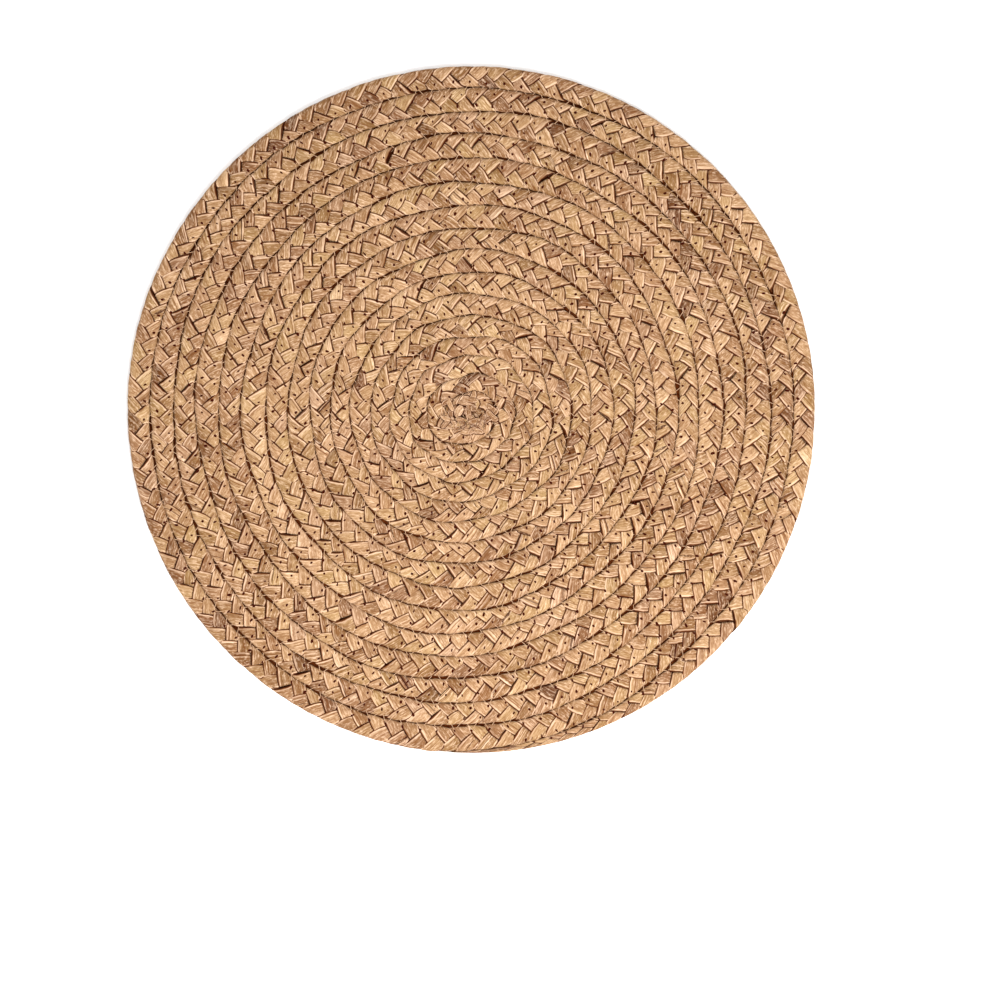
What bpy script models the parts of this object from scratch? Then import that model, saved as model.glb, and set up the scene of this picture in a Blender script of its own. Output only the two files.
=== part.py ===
"""Round water hyacinth placemat: one flat plait wound into a spiral and sewn edge to edge.

Units are metres and +Z is up. The origin is the middle of the underside. The plait is folded
round its own start, winds clockwise as seen from above, and its tapered end is sewn into the
rim. The two faces are alike, so the upper half is modelled and mirrored about the mid-plane.
"""

import math

import bmesh
import bpy
from mathutils import Vector

# Driving dimensions.
DIAMETER = 0.350
THICKNESS = 0.006
END_TURNS = 15.83  # where the plait's end has run out to the rim
END_WIDTH = 0.0008  # the tapered end is cut where it gets narrower than this
START_RADIUS = 0.0084  # the plait is folded round its own start, so no row begins from nothing
START_TAPER = 0.25  # the part of a turn over which the start reaches that radius
NARROW_ROW = 0.00885  # width of the innermost rows
ROW_SWELL = 0.0030  # how much wider the outer rows are
SWELL_TURNS = 24

# The outer rows run level round most of a turn and step outwards in one stretch of it.
STEP_START = 0.60
STEP_LENGTH = 0.23
LEVELLING = 1.3

# The inner rows are slightly oval, about a point left of the middle and nearer the front.
CORE_HALF_LENGTH = 0.0028
CORE_LEAN = 0.0014
CORE_SHIFT = Vector((-0.0027, -0.0020))
CORE_REACH = 0.075  # radius by which both have mostly faded
TIP_SHARPNESS = 0.45

# Section of a row.
GROOVE = 0.0011  # depth of the sewn groove between two rows
CROWN_SHARE = 0.24  # where a row's flat crown starts, as a share of its width
CROWN_RISE = 0.6  # a row reaches its full height at this share of the narrow width
RIM_ROUNDING = 0.0010
RIM_LOBES = 120  # strands that turn round the outer edge
LOBE_DEPTH = 0.0004
WANDER = 0.0005  # how far a seam strays from its true line

# Mesh.
STEPS_PER_TURN = 48
WELD = 1.5e-4

HALF_THICKNESS = THICKNESS / 2
RADIUS = DIAMETER / 2
EDGE_RADIUS = RADIUS - RIM_ROUNDING - LOBE_DEPTH  # where the upper face starts to turn down


def smooth(x):
    """0 below 0, 1 above 1, and a soft step between them."""
    x = min(max(x, 0.0), 1.0)
    return x * x * (3 - 2 * x)


def stepped(turns):
    """Turns counted so that a row steps outwards in one stretch of each turn.

    Near the middle the rows grow evenly, and further out more and more of the growth is in
    the step.
    """
    whole = math.floor(turns - STEP_START)
    share = turns - STEP_START - whole
    level = whole + smooth(share / STEP_LENGTH) + STEP_START + STEP_LENGTH / 2 - 0.5
    strength = smooth(turns / END_TURNS * LEVELLING)
    return turns + strength * (level - turns)


def seam_radius(turns):
    """Radius of the outer seam of the row after this many turns."""
    if turns < 0:
        return START_RADIUS * smooth(1 + turns / START_TAPER)
    level = stepped(turns)
    swell = 1 - math.cos(math.pi * level / SWELL_TURNS)
    radius = START_RADIUS + NARROW_ROW * level + ROW_SWELL * SWELL_TURNS / math.pi * swell
    return radius if radius < EDGE_RADIUS - END_WIDTH else EDGE_RADIUS


def on_mat(radius, turns):
    """Plan position at a radius and a winding position, clockwise from the left (-X)."""
    angle = math.pi - 2 * math.pi * turns
    outward = Vector((math.cos(angle), math.sin(angle)))
    near = math.exp(-((radius / CORE_REACH) ** 2))
    side = math.tanh(outward.x / TIP_SHARPNESS) / math.tanh(1 / TIP_SHARPNESS)
    centre = Vector((CORE_HALF_LENGTH, CORE_LEAN)) * side + CORE_SHIFT
    fade = smooth(radius / 0.03) * smooth((EDGE_RADIUS - radius) / 0.02)
    stray = math.sin(5 * angle + 90 * radius) + math.sin(9 * angle - 230 * radius)
    return centre * near + outward * (radius + WANDER * fade * stray)


def row_point(turns, across):
    """A point of the upper face: across is 0 and 1 at the row's seams."""
    inner = seam_radius(turns - 1)
    outer = seam_radius(turns)
    place = on_mat(inner + across * (outer - inner), turns)
    crown = 0
    if 0 < across < 1:
        crown = smooth((outer - inner) / (NARROW_ROW * CROWN_RISE))
    return Vector((place.x, place.y, HALF_THICKNESS - GROOVE * (1 - crown)))


def wind_rows(bm):
    """The ribbed upper face: a straight strip, wound up and welded along its seams."""
    steps = round((END_TURNS + START_TAPER) * STEPS_PER_TURN)
    shares = (0, CROWN_SHARE, 1 - CROWN_SHARE, 1)
    bands = len(shares) - 1
    bmesh.ops.create_grid(bm, x_segments=steps, y_segments=bands, size=1)
    for vertex in bm.verts:
        step = round((vertex.co.x + 1) / 2 * steps)
        share = shares[round((vertex.co.y + 1) / 2 * bands)]
        vertex.co = row_point(step / STEPS_PER_TURN - START_TAPER, share)
    bmesh.ops.remove_doubles(bm, verts=bm.verts, dist=WELD)


def round_rim(bm):
    """Splits the outline finely, gives it its lobes and turns it down to the mid-plane."""
    outline = [edge for edge in bm.edges if edge.is_boundary]
    cuts = 2 * RIM_LOBES // STEPS_PER_TURN - 1
    bmesh.ops.subdivide_edges(bm, edges=outline, cuts=cuts)
    for vertex in (v for v in bm.verts if v.is_boundary):
        vertex.co.xy = lobed(vertex.co.xy, RADIUS - RIM_ROUNDING)
    outline = [edge for edge in bm.edges if edge.is_boundary]
    made = bmesh.ops.extrude_edge_only(bm, edges=outline)["geom"]
    for vertex in (v for v in made if isinstance(v, bmesh.types.BMVert)):
        place = lobed(vertex.co.xy, RADIUS)
        vertex.co = Vector((place.x, place.y, 0))


def lobed(place, radius):
    """The point of the outline in this direction: every second one is between two lobes."""
    angle = math.atan2(place.y, place.x)
    position = round(angle / math.pi * RIM_LOBES)
    between = position % 2
    reach = radius - between * LOBE_DEPTH
    angle = position * math.pi / RIM_LOBES
    return Vector((reach * math.cos(angle), reach * math.sin(angle)))


def plait_material():
    material = bpy.data.materials.new("water_hyacinth")
    material.use_nodes = True
    shader = material.node_tree.nodes["Principled BSDF"]
    shader.inputs["Base Color"].default_value = (0.52, 0.29, 0.15, 1)
    shader.inputs["Roughness"].default_value = 0.72
    shader.inputs["Metallic"].default_value = 0
    return material


def main():
    for obj in list(bpy.data.objects):
        bpy.data.objects.remove(obj)
    collection = bpy.data.collections.new("water_hyacinth_placemat")
    bpy.context.scene.collection.children.link(collection)

    bm = bmesh.new()
    wind_rows(bm)
    round_rim(bm)
    bmesh.ops.triangulate(bm, faces=bm.faces)
    bmesh.ops.recalc_face_normals(bm, faces=bm.faces)
    mesh = bpy.data.meshes.new("placemat")
    bm.to_mesh(mesh)
    bm.free()

    placemat = bpy.data.objects.new("placemat", mesh)
    placemat.location.z = HALF_THICKNESS
    collection.objects.link(placemat)
    mirror = placemat.modifiers.new("other_face", "MIRROR")
    mirror.use_axis = (False, False, True)
    mirror.merge_threshold = 0.0001
    mesh.materials.append(plait_material())
    mesh.shade_smooth()


main()
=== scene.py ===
"""Looks of the round water hyacinth placemat: a three-strand flat plait, wound and sewn.

The plait is real geometry. Each strand is a flat ribbon that crosses from one edge of the row
to the other, over and under its neighbours, all the way along the spiral. Lengths are in
metres, and +Z is up.
"""

import bpy
import numpy as np
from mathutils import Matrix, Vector
from mathutils.bvhtree import BVHTree


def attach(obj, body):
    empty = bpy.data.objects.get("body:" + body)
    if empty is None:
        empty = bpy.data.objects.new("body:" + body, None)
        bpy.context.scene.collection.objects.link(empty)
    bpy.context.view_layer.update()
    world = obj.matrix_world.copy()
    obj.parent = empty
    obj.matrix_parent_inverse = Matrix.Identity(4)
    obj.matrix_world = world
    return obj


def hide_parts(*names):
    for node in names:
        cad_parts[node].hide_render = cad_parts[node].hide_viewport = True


# The spiral, as in the part's source.
THICKNESS = 0.006
RADIUS = 0.175
END_TURNS = 15.83
START_RADIUS = 0.0084
START_TAPER = 0.25
NARROW_ROW = 0.00885
ROW_SWELL = 0.0030
SWELL_TURNS = 24
STEP_START = 0.60
STEP_LENGTH = 0.23
LEVELLING = 1.3
CORE_HALF_LENGTH = 0.0028
CORE_LEAN = 0.0014
CORE_SHIFT = (-0.0027, -0.0020)
CORE_REACH = 0.075
TIP_SHARPNESS = 0.45
WANDER = 0.0005

# The plait.
RIM_RADIUS = RADIUS - 0.0004
FIRST_TURNS = -0.215  # the strands start and stop a little way into the tapers
LAST_TURNS = 15.765
TAIL_TURNS = 14.62  # where the last seam starts to bend out, to meet the rim
TAIL_LENGTH = 0.08
TAIL_BEND = 0.0013
STRANDS = 3
LEAF = 0.0089  # length of row that one strand takes up where it turns at the edge
CROSSING = 1.5 * LEAF  # length of row in which a strand goes from one edge to the other
HALF_ROW = 0.00650  # a little over half a row, so that neighbouring rows press together
HALF_THICKNESS = THICKNESS / 2
HALF_PLAIT = 0.00288  # leaves room for the thread above and below
SQUARENESS = 3.4  # exponent of the row's section: 2 is an ellipse
DIVE = 0.00035  # how soon a strand slips under the next one
STRAND_DEPTH = 0.0022
FULL_ROW = 0.012  # width of the rows at the rim, for which HALF_ROW is given
THIN_ROW = 0.005  # rows narrower than this, in the tapers, are thinner too
DISC_RADIUS = 0.1734  # the dark sheet of painted shade stays within the rim
DISC_HALF_THICKNESS = 0.0002

# Where a strand has its cross-sections, as shares of the way from the middle to the edge.
STOPS = (-0.89, -0.74, -0.54, -0.30, -0.13, -0.04, 0.04, 0.13, 0.30, 0.54, 0.74, 0.89, 1.0)
# A cross-section: position across the strand from -1 to 1, and depth under its top face.
SECTION = (
    (-1.0, 0.00062),
    (-0.93, 0.00018),
    (-0.80, 0.00000),
    (-0.40, 0.00008),
    (0.0, 0.00004),
    (0.40, 0.00008),
    (0.80, 0.00000),
    (0.93, 0.00018),
    (1.0, 0.00062),
    (0.6, STRAND_DEPTH),
    (-0.6, STRAND_DEPTH),
)
TOP_POINTS = 9  # the first of them, which lie on the outer side of a strand

# How much one leaf differs from the next. A leaf is the stretch of strand between two dives
# under its neighbours: over one face, round the edge and over the other face.
LEAF_WIDTH = 1.14  # as a share of LEAF, so that neighbours overlap
WIDTH_SPREAD = 0.11
LEAN_SPREAD = 0.00016
SUNK_SPREAD = 0.00032
SLIDE_SPREAD = 0.00045
BEND_SPREAD = 0.00065
SHORT_SPREAD = 0.0008
FACE_DOME = 0.00010  # how far a leaf's sides lie below its middle
EDGE_DOME = 0.00065  # the same where it turns round the edge of the row
BASE_DIP = 0.00038  # how far a leaf sinks where it comes out from under its neighbour

# The strands' UV maps.
STRAND_PER_CROSSING = 0.0206
STRAND_HALF_WIDTH = 0.0032
BAKE_LINES = 29

# Loose and folded ends.
CORE_SLIPS = 36
CORE_CENTRE = (-0.0030, -0.0025)
CORE_SIZE = (0.0150, 0.0090)
FRAYS = 44
FRAY_CENTRE = (-0.0035, -0.0050)
FRAY_SIZE = (0.0130, 0.0060)
SLIVERS = 150
# Across a slip from -1 to 1, and height as a share of its thickness.
SLIP_SECTION = (
    (-1.0, -0.30),
    (-0.75, -0.04),
    (0.0, 0.0),
    (0.75, -0.04),
    (1.0, -0.30),
    (0.0, -0.9),
)

# The sewing.
STITCH = 0.00435
NEEDLE_IN = 0.0037  # needle holes lie this far inside and outside a seam
NEEDLE_OUT = 0.0027
HOLE_LONG = 0.00098
HOLE_SHORT = 0.00068
THREAD_RADIUS = 0.00015
FIRST_SEAM = 0.05
LAST_SEAM = 14.73


def smooth(x):
    """0 below 0, 1 above 1, and a soft step between them."""
    x = np.clip(x, 0, 1)
    return x * x * (3 - 2 * x)


def stepped(turns):
    whole = np.floor(turns - STEP_START)
    share = turns - STEP_START - whole
    level = whole + smooth(share / STEP_LENGTH) + STEP_START + STEP_LENGTH / 2 - 0.5
    strength = smooth(turns / END_TURNS * LEVELLING)
    return turns + strength * (level - turns)


def seam_radius(turns):
    """Radius of the outer seam of the row after this many turns."""
    level = stepped(np.maximum(turns, 0))
    swell = 1 - np.cos(np.pi * level / SWELL_TURNS)
    radius = START_RADIUS + NARROW_ROW * level + ROW_SWELL * SWELL_TURNS / np.pi * swell
    radius = radius + TAIL_BEND * smooth((turns - TAIL_TURNS) / TAIL_LENGTH)
    start = START_RADIUS * smooth(1 + turns / START_TAPER)
    return np.where(turns < 0, start, np.minimum(radius, RIM_RADIUS))


def on_mat(radius, turns):
    """Plan position at a radius and a winding position, clockwise from the left (-X)."""
    angle = np.pi - 2 * np.pi * turns
    cos, sin = np.cos(angle), np.sin(angle)
    near = np.exp(-((radius / CORE_REACH) ** 2))
    side = np.tanh(cos / TIP_SHARPNESS) / np.tanh(1 / TIP_SHARPNESS)
    fade = smooth(radius / 0.03) * smooth((RIM_RADIUS - radius) / 0.02)
    stray = np.sin(5 * angle + 90 * radius) + np.sin(9 * angle - 230 * radius)
    reach = radius + WANDER * fade * stray
    x = (CORE_HALF_LENGTH * side + CORE_SHIFT[0]) * near + cos * reach
    y = (CORE_LEAN * side + CORE_SHIFT[1]) * near + sin * reach
    return x, y


def row_middle(turns):
    return (seam_radius(turns) + seam_radius(turns - 1)) / 2


def row_width(turns):
    return seam_radius(turns) - seam_radius(turns - 1)


def length_table(radius_of, first, last):
    """Turns, and the length from the first of them along the curve at radius_of(turns)."""
    turns = np.linspace(first, last, 60000)
    x, y = on_mat(radius_of(turns), turns)
    steps = np.hypot(np.diff(x), np.diff(y))
    return turns, np.concatenate([[0], np.cumsum(steps)])


def section_table():
    """Half of a row's section, from the middle of its face round to its edge: length, y, z."""
    phi = np.linspace(0, np.pi / 2, 800)
    y = HALF_ROW * np.sin(phi) ** (2 / SQUARENESS)
    z = HALF_PLAIT * np.cos(phi) ** (2 / SQUARENESS)
    length = np.concatenate([[0], np.cumsum(np.hypot(np.diff(y), np.diff(z)))])
    return length / length[-1], y, z


def noise(positions, seed):
    """Smooth values from -1 to 1 along a list of positions, about one bump for each unit."""
    values = np.random.default_rng(seed).uniform(-1, 1, int(positions.max()) + 3)
    base = np.floor(positions).astype(int)
    share = smooth(positions - base)
    return values[base] * (1 - share) + values[base + 1] * share


def strand_points(index):
    """Points of one strand as rows x section, and what the material needs at each of them."""
    table_turns, table_length = length_table(row_middle, FIRST_TURNS, LAST_TURNS)
    total = table_length[-1]
    crossings = int((total - LEAF) / CROSSING)
    per = len(STOPS)
    stop = np.tile(np.array(STOPS), crossings)[:, None]
    loop = np.repeat(np.arange(crossings), per)[:, None]
    across = np.array([point[0] for point in SECTION])[None, :]
    depth = np.array([point[1] for point in SECTION])[None, :]
    half = LEAF / 2

    leaf = loop + (stop > 0)
    count = crossings + 2
    rng = np.random.default_rng(100 + index)
    wide = LEAF_WIDTH + rng.uniform(-WIDTH_SPREAD, WIDTH_SPREAD, count)[leaf]
    lean = rng.normal(0, LEAN_SPREAD, count)[leaf]
    sunk = rng.uniform(0, SUNK_SPREAD, count)[leaf]
    slide = rng.normal(0, SLIDE_SPREAD, count)[leaf]
    bend = rng.normal(0, BEND_SPREAD, count)[leaf]
    ridge = rng.uniform(-1, 1, count)[leaf]
    short = (rng.uniform(0, 1, count) ** 3 * SHORT_SPREAD)[leaf]

    shear = 1 - smooth((np.abs(stop) - 0.15) / 0.6)
    bulge = 0.94 + 0.17 * np.sin(np.pi * np.abs(stop))
    b = across * half * wide * bulge
    way = stop * CROSSING / 2 - b / 2 * shear
    along = index * LEAF + (loop + 0.5) * CROSSING + way + b + slide * (1 - shear)
    along = along + bend * np.sin(np.pi * np.abs(stop))
    layer = 2 * smooth(0.5 + (way + b / 2) / (2 * DIVE)) - 1
    direction = np.where(loop % 2 == 0, 1, -1)
    v = direction * way

    base = np.exp(-((np.abs(stop) / 0.13) ** 2))
    round_edge = EDGE_DOME * smooth((np.abs(stop) - 0.55) / 0.35)
    deep = depth + sunk + np.abs(lean) - lean * across + BASE_DIP * base
    deep = deep + (FACE_DOME + round_edge) * across**2
    deep = deep + 0.00010 * ridge * np.cos(across * 5.5) * (depth < STRAND_DEPTH / 3)
    deep = np.maximum(deep, 0)

    turns = np.interp(along, table_length, table_turns)
    at_rim = smooth((seam_radius(turns) - (RIM_RADIUS - 0.002)) / 0.002) * (v > 0)
    share, table_y, table_z = section_table()
    reach = np.abs(v) / (CROSSING / 2)
    drawn_in = (deep + short) / HALF_ROW * (1 - 0.65 * at_rim)
    y = np.interp(reach, share, table_y) * (1 - drawn_in)
    z = np.interp(reach, share, table_z) * (1 - deep / HALF_PLAIT)
    width = row_width(turns)
    thin = smooth(width / THIN_ROW)
    near = 1 - smooth((row_middle(turns) - 0.02) / 0.07)
    radius = row_middle(turns) + np.sign(v) * y * width / FULL_ROW * (1 + 0.03 * near)
    x, y = on_mat(radius, turns)
    z = HALF_THICKNESS + layer * z * (0.35 + 0.65 * thin)
    places = np.stack([x, y, z], axis=-1)

    inner = 1 - smooth((radius - (RIM_RADIUS - 0.0015)) / 0.001)
    outer = smooth((radius - 0.11) / 0.06)
    inmost = 1 - smooth((radius - 0.01) / 0.04)
    # edge, seam and dive tell the material where to paint shade and the edge highlight
    looks = {
        "tone": rng.normal(0, 1, count)[leaf] * np.ones_like(v),
        "tint": rng.uniform(0, 1, count)[leaf] * np.ones_like(v),
        "streaks": rng.uniform(0, 1, count)[leaf] * np.ones_like(v),
        "streakiness": rng.uniform(0, 1, count)[leaf] * np.ones_like(v),
        "edge": np.abs(across) * np.ones_like(v),
        "seam": reach * (0.75 + 0.25 * inner) * (1 - 0.025 * near),
        "dive": 1 - np.abs(stop) * np.ones_like(v),
        # patch: broad lighter and darker stretches of leaves, and darker towards the rim and
        # towards the middle
        "patch": noise((loop + stop / 2) / 9 + 1, 300 + index) - 0.45 * outer - 0.35 * inmost,
    }
    return places, looks


def strip_faces(rows, columns):
    """Quads of a closed tube of points, rows x columns, open at both ends."""
    row, column = np.meshgrid(np.arange(rows - 1), np.arange(columns), indexing="ij")
    following = (column + 1) % columns
    return np.stack(
        [
            row * columns + column,
            row * columns + following,
            (row + 1) * columns + following,
            (row + 1) * columns + column,
        ],
        axis=-1,
    ).reshape(-1, 4)


def mesh_object(name, points, quads, caps=()):
    """A mesh from arrays: quads, and any larger faces as lists of vertices."""
    mesh = bpy.data.meshes.new(name)
    corners = np.concatenate([quads.reshape(-1)] + [np.array(cap) for cap in caps])
    sizes = np.concatenate([np.full(len(quads), 4), [len(cap) for cap in caps]]).astype(int)
    starts = np.concatenate([[0], np.cumsum(sizes)[:-1]])
    mesh.vertices.add(len(points))
    mesh.vertices.foreach_set("co", points.astype(np.float32).reshape(-1))
    mesh.loops.add(len(corners))
    mesh.loops.foreach_set("vertex_index", corners.astype(np.int32))
    mesh.polygons.add(len(sizes))
    mesh.polygons.foreach_set("loop_start", starts.astype(np.int32))
    mesh.update(calc_edges=True)
    mesh.validate()
    mesh.shade_smooth()
    piece = bpy.data.objects.new(name, mesh)
    bpy.context.scene.collection.objects.link(piece)
    return piece


def strand(index, places, looks, material):
    rows, columns = places.shape[:2]
    points = places.reshape(-1, 3)
    quads = strip_faces(rows, columns)
    first = list(range(columns - 1, -1, -1))
    last = [(rows - 1) * columns + k for k in range(columns)]
    piece = mesh_object(f"strand_{index + 1}", points, quads, (first, last))
    mesh = piece.data
    for name, values in looks.items():
        attribute = mesh.attributes.new(name, "FLOAT", "POINT")
        attribute.data.foreach_set("value", values.astype(np.float32).reshape(-1))
    add_strand_uvs(mesh, rows, columns, len(quads))
    mesh.materials.append(material)
    return piece


def slips(name, lines, widths, ups, looks, material):
    """Short flat pieces of stem. Each follows a line of points, is widths wide and faces up."""
    points = []
    quads = []
    caps = []
    values = {key: [] for key in looks[0]}
    across_uv = []
    for line, width, up, look in zip(lines, widths, ups, looks):
        rows = len(line)
        ahead = np.gradient(line, axis=0)
        ahead = ahead / np.maximum(np.linalg.norm(ahead, axis=1, keepdims=True), 1e-9)
        beside = np.cross(np.broadcast_to(up, ahead.shape), ahead)
        start = len(points)
        for k in range(rows):
            share = k / (rows - 1)
            taper = 0.35 + 0.65 * (1 - abs(2 * share - 1) ** 3)
            for x, rise in SLIP_SECTION:
                drop = rise * min(width[0], 0.0012) * (1 if x else width[1])
                points.append(line[k] + beside[k] * (x * width[0] * taper) + up * drop)
                across_uv.append((share * 0.012, x * width[0]))
                for key in values:
                    values[key].append(look[key])
                # edge near 1 along a slip's sides and ends gives it the dark line of painted
                # shade
                values["edge"][-1] *= max(abs(x), abs(2 * share - 1) ** 2)
        columns = len(SLIP_SECTION)
        quads.append(strip_faces(rows, columns) + start)
        caps.append([start + k for k in range(columns - 1, -1, -1)])
        caps.append([start + (rows - 1) * columns + k for k in range(columns)])
    piece = mesh_object(name, np.array(points), np.concatenate(quads), caps)
    for key, numbers in values.items():
        attribute = piece.data.attributes.new(key, "FLOAT", "POINT")
        attribute.data.foreach_set("value", np.array(numbers, np.float32))
    layer = piece.data.uv_layers.new(name="Strand")
    corners = np.zeros(len(piece.data.loops), np.int32)
    piece.data.loops.foreach_get("vertex_index", corners)
    layer.uv.foreach_set("vector", np.array(across_uv, np.float32)[corners].reshape(-1))
    piece.data.materials.append(material)
    return piece


def core_slips(side, material):
    """The start of the plait is a jumble of folded ends. They lie over the first turn."""
    rng = np.random.default_rng(21 if side > 0 else 22)
    lines = []
    widths = []
    looks = []
    for _ in range(CORE_SLIPS):
        radius = np.sqrt(rng.uniform(0, 1))
        angle = rng.uniform(0, 2 * np.pi)
        x = CORE_CENTRE[0] + CORE_SIZE[0] * radius * np.cos(angle)
        y = CORE_CENTRE[1] + CORE_SIZE[1] * radius * np.sin(angle)
        way = angle - np.pi / 2 + rng.normal(0, 0.8)
        length = rng.uniform(0.0060, 0.0100)
        curl = rng.normal(0, 0.5)
        level = HALF_PLAIT - 0.0001 + rng.uniform(-0.0003, 0.0002)
        tilt = rng.normal(0, 0.03)
        line = []
        for share in np.linspace(-1, 1, 7):
            turn = way + curl * share / 2
            step = share * length / 2
            rise = tilt * step - 0.0007 * abs(share) ** 4
            point = (x + np.cos(turn) * step, y + np.sin(turn) * step)
            line.append((*point, HALF_THICKNESS + side * min(level + rise, HALF_THICKNESS)))
        lines.append(np.array(line))
        widths.append((rng.uniform(0.0014, 0.0027), 1.2))
        looks.append(slip_looks(rng, rng.normal(-1.5, 1.1), rng.uniform(0, 0.3)))
    for _ in range(FRAYS):
        spread = np.sqrt(rng.uniform(0, 1))
        angle = rng.uniform(0, 2 * np.pi)
        x = FRAY_CENTRE[0] + FRAY_SIZE[0] * spread * np.cos(angle)
        y = FRAY_CENTRE[1] + FRAY_SIZE[1] * spread * np.sin(angle)
        way = rng.uniform(0, np.pi)
        steps = np.linspace(-0.5, 0.5, 4) * rng.uniform(0.0015, 0.0038)
        level = HALF_THICKNESS + side * (HALF_PLAIT + rng.uniform(-0.00005, 0.00008))
        line = [(x + np.cos(way) * step, y + np.sin(way) * step, level) for step in steps]
        lines.append(np.array(line))
        widths.append((rng.uniform(0.00014, 0.00034), 1.0))
        looks.append(slip_looks(rng, rng.normal(1.8, 1.0), rng.uniform(0.1, 0.6)))
        looks[-1]["edge"] = 0.0
        looks[-1]["dive"] = float(rng.random() < 0.5)
    ups = [np.array([0, 0, side])] * len(lines)
    label = "top" if side > 0 else "under"
    return slips(f"core_ends_{label}", lines, widths, ups, looks, material)


def slip_looks(rng, tone, tint):
    return {
        "tone": tone,
        "tint": tint,
        "streaks": rng.uniform(0, 1),
        "streakiness": rng.uniform(0.3, 1),
        "edge": 1.1,
        "seam": 0.0,
        "dive": 0.0,
        "patch": 0.0,
    }


def frayed_slivers(index, places, material):
    """Thin splinters that have come loose along the edges of some leaves of a strand."""
    rng = np.random.default_rng(40 + index)
    per = len(STOPS)
    loops = len(places) // per
    lines = []
    ups = []
    widths = []
    looks = []
    for _ in range(SLIVERS):
        loop = rng.integers(3, loops - 3)
        after = rng.random() < 0.5
        first = loop * per + (7 if after else 1)
        column = rng.integers(1, TOP_POINTS - 1)
        run = places[first : first + 4, column]
        beside = places[first : first + 4, column + 1] - run
        side = 1 if run[1][2] > HALF_THICKNESS else -1
        shift = rng.uniform(-0.3, 0.3) + rng.uniform(-0.7, 0.7) * np.linspace(0, 1, 4)
        line = run + beside * shift[:, None]
        raised = rng.uniform(0.00003, 0.00012) + rng.uniform(0, 0.0002) * np.linspace(0, 1, 4)
        level = (line[:, 2] - HALF_THICKNESS) * side + raised
        line[:, 2] = HALF_THICKNESS + side * np.minimum(level, HALF_THICKNESS)
        lines.append(line)
        ups.append(np.array([0, 0, side]))
        # a split is a wider dark sliver: painted shade of a gap in the stem
        split = rng.random() < 0.05
        widths.append((0.0008 if split else rng.uniform(0.00012, 0.00040), 1.0))
        looks.append(slip_looks(rng, rng.normal(1.6, 1.2), rng.uniform(0.1, 0.8)))
        looks[-1]["edge"] = 0.0
        looks[-1]["dive"] = float(split or rng.random() < 0.3)
    return slips(f"slivers_{index + 1}", lines, widths, ups, looks, material)


def add_strand_uvs(mesh, rows, columns, quad_count):
    """The map Strand is in metres along and across. OFBake packs the same strip in lines."""
    per = len(STOPS)
    row = np.arange(rows - 1)
    along = (row / per) * STRAND_PER_CROSSING
    across = np.array([point[0] for point in SECTION])
    start = np.repeat(along, columns)
    column = np.tile(np.arange(columns), rows - 1)
    step = STRAND_PER_CROSSING / per
    side = np.append(across, across[0]) * STRAND_HALF_WIDTH
    left, right = side[column], side[column + 1]
    strand_uv = np.stack(
        [
            np.stack([start, left], -1),
            np.stack([start, right], -1),
            np.stack([start + step, right], -1),
            np.stack([start + step, left], -1),
        ],
        axis=1,
    ).reshape(-1, 2)

    quads_in_line = int(np.ceil((rows - 1) / BAKE_LINES))
    edges = np.concatenate([np.linspace(0, 0.84, TOP_POINTS), [0.90, 0.95, 1.0]])
    line = np.repeat(row // quads_in_line, columns)
    place = np.repeat(row % quads_in_line, columns)
    u0 = place / quads_in_line
    u1 = (place + 1) / quads_in_line
    margin = 0.04
    v0 = (line + margin + (1 - 2 * margin) * edges[column]) / BAKE_LINES
    v1 = (line + margin + (1 - 2 * margin) * edges[column + 1]) / BAKE_LINES
    bake_uv = np.stack(
        [
            np.stack([u0, v0], -1),
            np.stack([u0, v1], -1),
            np.stack([u1, v1], -1),
            np.stack([u1, v0], -1),
        ],
        axis=1,
    ).reshape(-1, 2)
    for name, values in (("Strand", strand_uv), ("OFBake", bake_uv)):
        layer = mesh.uv_layers.new(name=name)
        flat = np.zeros(len(mesh.loops) * 2, np.float32)
        flat[: quad_count * 8] = values.astype(np.float32).reshape(-1)
        layer.uv.foreach_set("vector", flat)


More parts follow.
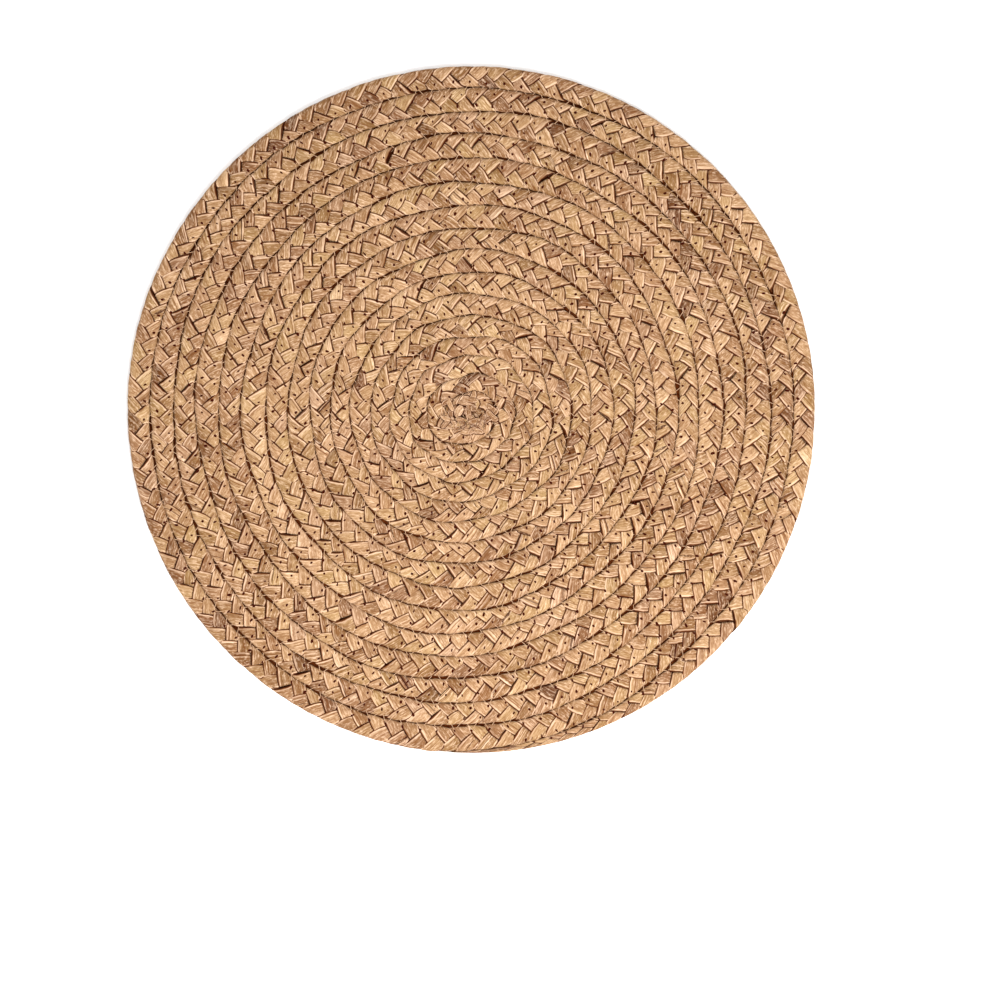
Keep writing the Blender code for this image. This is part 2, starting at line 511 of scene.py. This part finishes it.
class Nodes:
    """Short calls that add and link the nodes of one material."""

    def __init__(self, name):
        self.material = bpy.data.materials.new(name)
        self.material.use_nodes = True
        self.tree = self.material.node_tree
        self.shader = self.tree.nodes["Principled BSDF"]

    def link(self, value, socket):
        if isinstance(value, bpy.types.NodeSocket):
            self.tree.links.new(value, socket)
        else:
            socket.default_value = value

    def attribute(self, name):
        node = self.tree.nodes.new("ShaderNodeAttribute")
        node.attribute_name = name
        return node.outputs["Fac"]

    def math(self, operation, a, b=0.0, clamp=False):
        node = self.tree.nodes.new("ShaderNodeMath")
        node.operation = operation
        node.use_clamp = clamp
        self.link(a, node.inputs[0])
        self.link(b, node.inputs[1])
        return node.outputs[0]

    def combine(self, x, y, z):
        node = self.tree.nodes.new("ShaderNodeCombineXYZ")
        for value, socket in zip((x, y, z), node.inputs):
            self.link(value, socket)
        return node.outputs[0]

    def uv(self, name):
        node = self.tree.nodes.new("ShaderNodeUVMap")
        node.uv_map = name
        split = self.tree.nodes.new("ShaderNodeSeparateXYZ")
        self.tree.links.new(node.outputs["UV"], split.inputs[0])
        return split.outputs["X"], split.outputs["Y"]

    def noise(self, vector, scale, detail=2.0, roughness=0.5):
        node = self.tree.nodes.new("ShaderNodeTexNoise")
        self.link(vector, node.inputs["Vector"])
        node.inputs["Scale"].default_value = scale
        node.inputs["Detail"].default_value = detail
        node.inputs["Roughness"].default_value = roughness
        return node.outputs["Fac"]

    def span(self, value, low, high, out_low=0.0, out_high=1.0):
        node = self.tree.nodes.new("ShaderNodeMapRange")
        self.link(value, node.inputs["Value"])
        node.inputs["From Min"].default_value = low
        node.inputs["From Max"].default_value = high
        node.inputs["To Min"].default_value = out_low
        node.inputs["To Max"].default_value = out_high
        return node.outputs["Result"]

    def ramp(self, value, stops):
        node = self.tree.nodes.new("ShaderNodeValToRGB")
        self.link(value, node.inputs["Fac"])
        elements = node.color_ramp.elements
        while len(elements) < len(stops):
            elements.new(0.5)
        for element, (position, colour) in zip(elements, stops):
            element.position = position
            element.color = linear(colour)
        return node.outputs["Color"]

    def mix(self, factor, a, b, blend="MIX"):
        node = self.tree.nodes.new("ShaderNodeMix")
        node.data_type = "RGBA"
        node.blend_type = blend
        self.link(factor, node.inputs["Factor"])
        self.link(a, node.inputs["A"])
        self.link(b, node.inputs["B"])
        return node.outputs["Result"]

    def bump(self, height, strength, distance, normal=None):
        node = self.tree.nodes.new("ShaderNodeBump")
        self.link(height, node.inputs["Height"])
        node.inputs["Strength"].default_value = strength
        node.inputs["Distance"].default_value = distance
        if normal:
            self.link(normal, node.inputs["Normal"])
        return node.outputs["Normal"]


def linear(colour):
    """A colour given as 0 to 255 in sRGB, as linear RGBA."""
    parts = [c / 255 for c in colour]
    parts = [c / 12.92 if c <= 0.04045 else ((c + 0.055) / 1.055) ** 2.4 for c in parts]
    return (*parts, 1.0)


def hyacinth_material():
    """Dried, flattened stem: tan with long fibres, with painted shade where it tucks under, in
    splits, along leaf edges and at the seams between rows, and a painted highlight inside the
    leaf edges.
    """
    n = Nodes("water_hyacinth")
    along, across = n.uv("Strand")
    leaf = n.math("MULTIPLY", n.attribute("streaks"), 40.0)

    def stem_noise(along_scale, across_scale, detail, roughness):
        u = n.math("MULTIPLY", along, along_scale)
        v = n.math("MULTIPLY", across, across_scale)
        return n.noise(n.combine(u, v, leaf), 1.0, detail, roughness)

    fibres = stem_noise(14.0, 1500.0, 3.0, 0.6)
    strips = stem_noise(10.0, 760.0, 2.0, 0.5)
    blotches = stem_noise(170.0, 260.0, 2.0, 0.5)
    ragged = stem_noise(420.0, 600.0, 2.0, 0.6)
    grain = stem_noise(620.0, 1700.0, 2.0, 0.7)

    tone = n.math("MULTIPLY", n.attribute("tone"), 0.12)
    patch = n.math("MULTIPLY", n.attribute("patch"), 0.20)
    level = n.math("ADD", n.math("ADD", tone, patch), 0.5)
    level = n.math("ADD", level, n.span(blotches, 0.3, 0.7, -0.12, 0.12))
    base = n.ramp(
        level,
        (
            (0.00, (82, 51, 30)),
            (0.25, (126, 93, 63)),
            (0.50, (155, 123, 90)),
            (0.75, (168, 136, 102)),
            (1.00, (187, 157, 125)),
        ),
    )
    tinted = n.ramp(
        n.attribute("tint"),
        (
            (0.00, (222, 206, 214)),
            (0.15, (250, 236, 228)),
            (0.50, (252, 244, 230)),
            (0.85, (248, 244, 216)),
            (1.00, (232, 230, 186)),
        ),
    )
    base = n.mix(0.6, base, tinted, "MULTIPLY")
    streaky = n.span(n.math("POWER", n.attribute("streakiness"), 2.0), 0.0, 1.0, 0.25, 1.0)
    brown = linear((94, 46, 6))
    umber = linear((112, 58, 6))
    pale = linear((236, 203, 173))
    dark = linear((50, 12, 0))
    bands = (
        (n.span(strips, 0.50, 0.66, 0.0, 0.34), brown),
        (n.span(fibres, 0.52, 0.66, 0.0, 0.6), brown),
        (n.span(fibres, 0.46, 0.32, 0.0, 0.6), pale),
    )
    for band, colour in bands:
        base = n.mix(n.math("MULTIPLY", band, streaky), base, colour)
    base = n.mix(n.span(grain, 0.52, 0.72, 0.0, 0.5), base, brown)
    base = n.mix(n.span(grain, 0.48, 0.28, 0.0, 0.5), base, pale)
    midway = n.math("ABSOLUTE", n.math("SUBTRACT", strips, 0.5))
    striae = n.span(midway, 0.005, 0.024, 1.0, 0.0)
    striae = n.math("MULTIPLY", striae, n.span(blotches, 0.35, 0.6))
    base = n.mix(n.math("MULTIPLY", striae, 0.8), base, brown)
    # painted shade: dark streaks along the fibres of streaky leaves, standing for the gaps of
    # split stems
    split_shade = n.math("MULTIPLY", n.span(strips, 0.62, 0.70), n.span(streaky, 0.6, 1.0))
    base = n.mix(split_shade, base, dark)

    wobble = n.span(ragged, 0.3, 0.7, -0.05, 0.05)
    edge = n.math("ADD", n.attribute("edge"), wobble)
    # painted highlight: a pale line just inside each leaf edge
    edge_highlight = n.math("MULTIPLY", n.span(edge, 0.60, 0.72, 0.0, 0.5), n.span(edge, 0.84, 0.77))
    edge_highlight = n.math("MULTIPLY", edge_highlight, n.span(blotches, 0.35, 0.6))
    base = n.mix(edge_highlight, base, pale)
    # painted shade: an umber band, then a dark line, along each leaf edge where the gaps
    # between leaves lie
    base = n.mix(n.span(edge, 0.75, 0.83, 0.0, 0.6), base, umber)
    line = n.span(blotches, 0.35, 0.6, 1.0, 0.80)
    line = n.math("MULTIPLY", n.span(edge, 0.82, 0.88), line)
    base = n.mix(line, base, dark)
    stray = n.math("ADD", wobble, n.span(blotches, 0.3, 0.7, -0.04, 0.04))
    seam = n.math("ADD", n.attribute("seam"), stray)
    # painted shade in the grooves between rows: umber, then dark towards the row's edges
    base = n.mix(n.span(seam, 0.83, 0.90, 0.0, 0.5), base, umber)
    base = n.mix(n.span(seam, 0.88, 0.935, 0.0, 1.0), base, dark)
    # painted shade where the strand comes out from under its neighbour
    dive = n.math("ADD", n.attribute("dive"), wobble)
    base = n.mix(n.span(dive, 0.95, 1.0, 0.0, 0.85), base, dark)

    n.link(base, n.shader.inputs["Base Color"])
    n.link(n.span(fibres, 0.3, 0.7, 0.50, 0.74), n.shader.inputs["Roughness"])
    n.shader.inputs["Specular IOR Level"].default_value = 0.05
    relief = n.bump(strips, 0.9, 0.00045)
    relief = n.bump(fibres, 0.8, 0.00028, relief)
    n.link(relief, n.shader.inputs["Normal"])
    return n.material


def shade_sheet_material():
    """Painted shade: the dark brown that shows through the splits of the plait, in place of the
    shadow between the strands.
    """
    n = Nodes("shade_sheet")
    coordinates = n.tree.nodes.new("ShaderNodeTexCoord").outputs["Object"]
    base = n.ramp(n.noise(coordinates, 700.0), ((0.3, (48, 14, 4)), (0.7, (84, 40, 14))))
    n.link(base, n.shader.inputs["Base Color"])
    n.shader.inputs["Roughness"].default_value = 0.9
    n.shader.inputs["Specular IOR Level"].default_value = 0.0
    return n.material


def shade_sheet(material):
    """A thin dark disc at mid-height, a sheet of painted shade, so that nothing beneath shows
    between the rows.
    """
    sides = 180
    angles = np.arange(sides) * 2 * np.pi / sides
    rim = np.stack([np.cos(angles), np.sin(angles)], axis=-1)
    inner = 0.0005
    half = DISC_HALF_THICKNESS
    corners = ((inner, -half), (DISC_RADIUS, -half), (DISC_RADIUS, half), (inner, half))
    rings = []
    for radius, rise in corners:
        level = np.full((sides, 1), HALF_THICKNESS + rise)
        rings.append(np.concatenate([rim * radius, level], axis=1))
    points = np.stack(rings, axis=1)
    points = np.concatenate([points, points[:1]])
    piece = mesh_object("shade_sheet", points.reshape(-1, 3), strip_faces(sides + 1, 4))
    piece.data.materials.append(material)
    return piece


def thread_material():
    """Pale cotton sewing thread with a fine twist."""
    n = Nodes("sewing_thread")
    coordinates = n.tree.nodes.new("ShaderNodeTexCoord").outputs["Object"]
    grain = n.noise(coordinates, 2600.0, 2.0, 0.6)
    base = n.ramp(grain, ((0.3, (146, 105, 76)), (0.6, (208, 170, 134))))
    n.link(base, n.shader.inputs["Base Color"])
    n.shader.inputs["Roughness"].default_value = 0.8
    n.link(n.bump(grain, 0.4, 0.0001), n.shader.inputs["Normal"])
    return n.material


def hole_shade_material():
    """Painted shade: the dark brown that stands in for the shadow inside a needle hole."""
    n = Nodes("hole_shade")
    coordinates = n.tree.nodes.new("ShaderNodeTexCoord").outputs["Object"]
    base = n.ramp(n.noise(coordinates, 1500.0), ((0.3, (40, 8, 4)), (0.7, (62, 20, 8))))
    n.link(base, n.shader.inputs["Base Color"])
    n.shader.inputs["Roughness"].default_value = 0.9
    n.shader.inputs["Specular IOR Level"].default_value = 0.0
    return n.material


class Surface:
    """Height of the plaited surface, read by rays against the strands."""

    def __init__(self, strands):
        graph = bpy.context.evaluated_depsgraph_get()
        self.trees = [BVHTree.FromObject(piece, graph) for piece in strands]

    def height(self, x, y, side):
        """Furthest point of the surface above (side 1) or below (side -1) the mid-plane."""
        start = Vector((x, y, HALF_THICKNESS + side * 0.01))
        best = -0.001
        normal = Vector((0, 0, side))
        for tree in self.trees:
            place, hit_normal, _, _ = tree.ray_cast(start, Vector((0, 0, -side)), 0.02)
            if place is not None:
                level = (place.z - HALF_THICKNESS) * side
                if level > best:
                    best = level
                    normal = hit_normal if hit_normal.z * side > 0 else -hit_normal
        return best, normal


def needle_points():
    """The zigzag's turning points: plan position, and whether each is inside its seam."""
    turns, length = length_table(seam_radius, FIRST_SEAM, LAST_SEAM)
    count = int(length[-1] / STITCH)
    rng = np.random.default_rng(5)
    at = (np.arange(count) + 0.5 + rng.uniform(-0.12, 0.12, count)) * STITCH
    at = np.interp(at, length, turns)
    inside = np.arange(count) % 2 == 0
    narrow = np.clip(np.minimum(row_width(at), row_width(at + 1)) / 0.0115, 0.3, 1.0)
    offset = np.where(inside, -NEEDLE_IN, NEEDLE_OUT) * narrow
    offset = offset + rng.normal(0, 0.00025, count)
    x, y = on_mat(seam_radius(at) + offset, at)
    return np.stack([x, y], axis=-1)


def thread(name, side, places, surface, material):
    """The zigzag on one face, each stitch dipping into its needle hole at both ends."""
    shares = (0.0, 0.09, 0.36, 0.64, 0.91)
    line = []
    rng = np.random.default_rng(31 if side > 0 else 32)
    for here, there in zip(places[:-1], places[1:]):
        pulled = rng.uniform(0.00002, 0.00030)
        spots = [here + (there - here) * share for share in shares]
        levels = [surface.height(spot[0], spot[1], side)[0] for spot in spots]
        ends = (levels[1], levels[4])
        chord = [ends[0] + (ends[1] - ends[0]) * share for share in shares]
        for k, spot in enumerate(spots):
            level = max(levels[k], chord[k] - 0.0006) - pulled
            level = min(level, HALF_THICKNESS - THREAD_RADIUS)
            if k == 0:
                level = levels[0] - 0.0003
            line.append((spot[0], spot[1], HALF_THICKNESS + side * level))
    line = np.array(line)
    ahead = np.gradient(line[:, :2], axis=0)
    ahead = ahead / np.maximum(np.linalg.norm(ahead, axis=1, keepdims=True), 1e-9)
    sideways = np.stack([-ahead[:, 1], ahead[:, 0], np.zeros(len(line))], axis=-1)
    up = np.array([0, 0, 1.0])
    ring = [sideways, np.tile(up, (len(line), 1)), -sideways, np.tile(-up, (len(line), 1))]
    points = np.stack([line + THREAD_RADIUS * way for way in ring], axis=1)
    rows, columns = points.shape[:2]
    caps = ([3, 2, 1, 0], [(rows - 1) * columns + k for k in range(4)])
    piece = mesh_object(name, points.reshape(-1, 3), strip_faces(rows, columns), caps)
    piece.data.materials.append(material)
    return piece


def hole_shades(name, side, places, surface, material):
    """A small dark dimple at each turning point, drawn out towards the seam: painted shade of
    the needle hole.
    """
    sides = 8
    points = []
    quads = []
    rng = np.random.default_rng(11)
    for k, spot in enumerate(places):
        level, normal = surface.height(spot[0], spot[1], side)
        run = places[min(k + 1, len(places) - 1)] - places[max(k - 1, 0)]
        forward = Vector((*run.tolist(), 0))
        radial = Vector((spot[0], spot[1], 0)).normalized()
        forward = (radial + forward.normalized() * rng.uniform(-0.9, 0.9)).normalized()
        forward = (forward - normal * forward.dot(normal)).normalized()
        beside = normal.cross(forward)
        centre = Vector((spot[0], spot[1], HALF_THICKNESS + side * (level + 0.00004)))
        long = HOLE_LONG * rng.uniform(0.7, 1.25)
        short = HOLE_SHORT * rng.uniform(0.7, 1.2)
        first = len(points)
        for j in range(sides):
            angle = 2 * np.pi * j / sides
            rim = centre + forward * (long * np.cos(angle)) + beside * (short * np.sin(angle))
            points.append(rim - normal * 0.00006)
        points.append(centre + normal * 0.00004)
        top = first + sides
        for j in range(0, sides, 2):
            quads.append((top, first + j, first + (j + 1) % sides, first + (j + 2) % sides))
    points = np.array(points)
    points[:, 2] = np.clip(points[:, 2], 0, THICKNESS)
    piece = mesh_object(name, points, np.array(quads))
    piece.data.materials.append(material)
    return piece


def dress_mat():
    hyacinth = hyacinth_material()
    strands = []
    loose = []
    for index in range(STRANDS):
        places, looks = strand_points(index)
        strands.append(strand(index, places, looks, hyacinth))
        loose.append(frayed_slivers(index, places, hyacinth))
    surface = Surface(strands)
    places = needle_points()
    cotton = thread_material()
    # dark discs of painted shade at the needle holes
    dark = hole_shade_material()
    # the dark disc inside is painted shade seen between the rows
    pieces = strands + loose + [shade_sheet(shade_sheet_material())]
    for label, side in (("top", 1), ("under", -1)):
        pieces.append(core_slips(side, hyacinth))
        pieces.append(thread(f"stitches_{label}", side, places, surface, cotton))
        pieces.append(hole_shades(f"hole_shades_{label}", side, places, surface, dark))
    for piece in pieces:
        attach(piece, "root")
    for piece in strands:
        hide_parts("placemat")


def add_floor():
    mesh = bpy.data.meshes.new("floor")
    mesh.from_pydata([(-3, -3, 0), (3, -3, 0), (3, 3, 0), (-3, 3, 0)], [], [(0, 1, 2, 3)])
    floor = bpy.data.objects.new("floor", mesh)
    bpy.context.scene.collection.objects.link(floor)
    n = Nodes("floor")
    n.shader.inputs["Base Color"].default_value = (0.98, 0.98, 0.98, 1)
    n.shader.inputs["Roughness"].default_value = 0.9
    n.shader.inputs["Specular IOR Level"].default_value = 0.0
    mesh.materials.append(n.material)


def add_lamp(name, place, aim, size, power):
    data = bpy.data.lights.new(name, "AREA")
    data.shape = "SQUARE"
    data.size = size
    data.energy = power
    lamp = bpy.data.objects.new(name, data)
    lamp.location = place
    lamp.rotation_euler = (Vector(aim) - Vector(place)).to_track_quat("-Z", "Y").to_euler()
    lamp.visible_camera = False
    bpy.context.scene.collection.objects.link(lamp)


def add_light():
    world = bpy.data.worlds.new("studio")
    world.use_nodes = True
    background = world.node_tree.nodes["Background"]
    background.inputs["Color"].default_value = (1.0, 1.0, 1.0, 1)
    background.inputs["Strength"].default_value = 1.06
    bpy.context.scene.world = world
    add_lamp("key", (0.18, -0.36, 0.70), (0, 0, 0), 0.4, 8.4)
    add_lamp("fill", (-1.0, 0.8, 1.6), (0, 0, 0), 1.2, 5.3)


def add_camera():
    """Straight down from far off. The frame shows 0.5081 m at the height of the mat's face."""
    span = 0.5081
    distance = 2.0
    sensor = 36
    data = bpy.data.cameras.new("camera")
    data.sensor_width = sensor
    data.lens = sensor * (distance - THICKNESS) / span
    data.clip_end = 20
    camera = bpy.data.objects.new("camera", data)
    camera.location = (0.0146, -0.0459, distance)
    bpy.context.scene.collection.objects.link(camera)
    bpy.context.scene.camera = camera


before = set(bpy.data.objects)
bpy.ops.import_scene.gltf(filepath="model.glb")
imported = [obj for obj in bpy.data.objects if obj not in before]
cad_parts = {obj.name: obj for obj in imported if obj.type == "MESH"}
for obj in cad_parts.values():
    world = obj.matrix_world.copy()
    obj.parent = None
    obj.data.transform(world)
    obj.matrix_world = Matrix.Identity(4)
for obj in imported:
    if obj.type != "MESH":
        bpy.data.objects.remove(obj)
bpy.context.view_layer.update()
add_camera()
dress_mat()
add_floor()
add_light()
bpy.context.scene.view_settings.view_transform = "Standard"
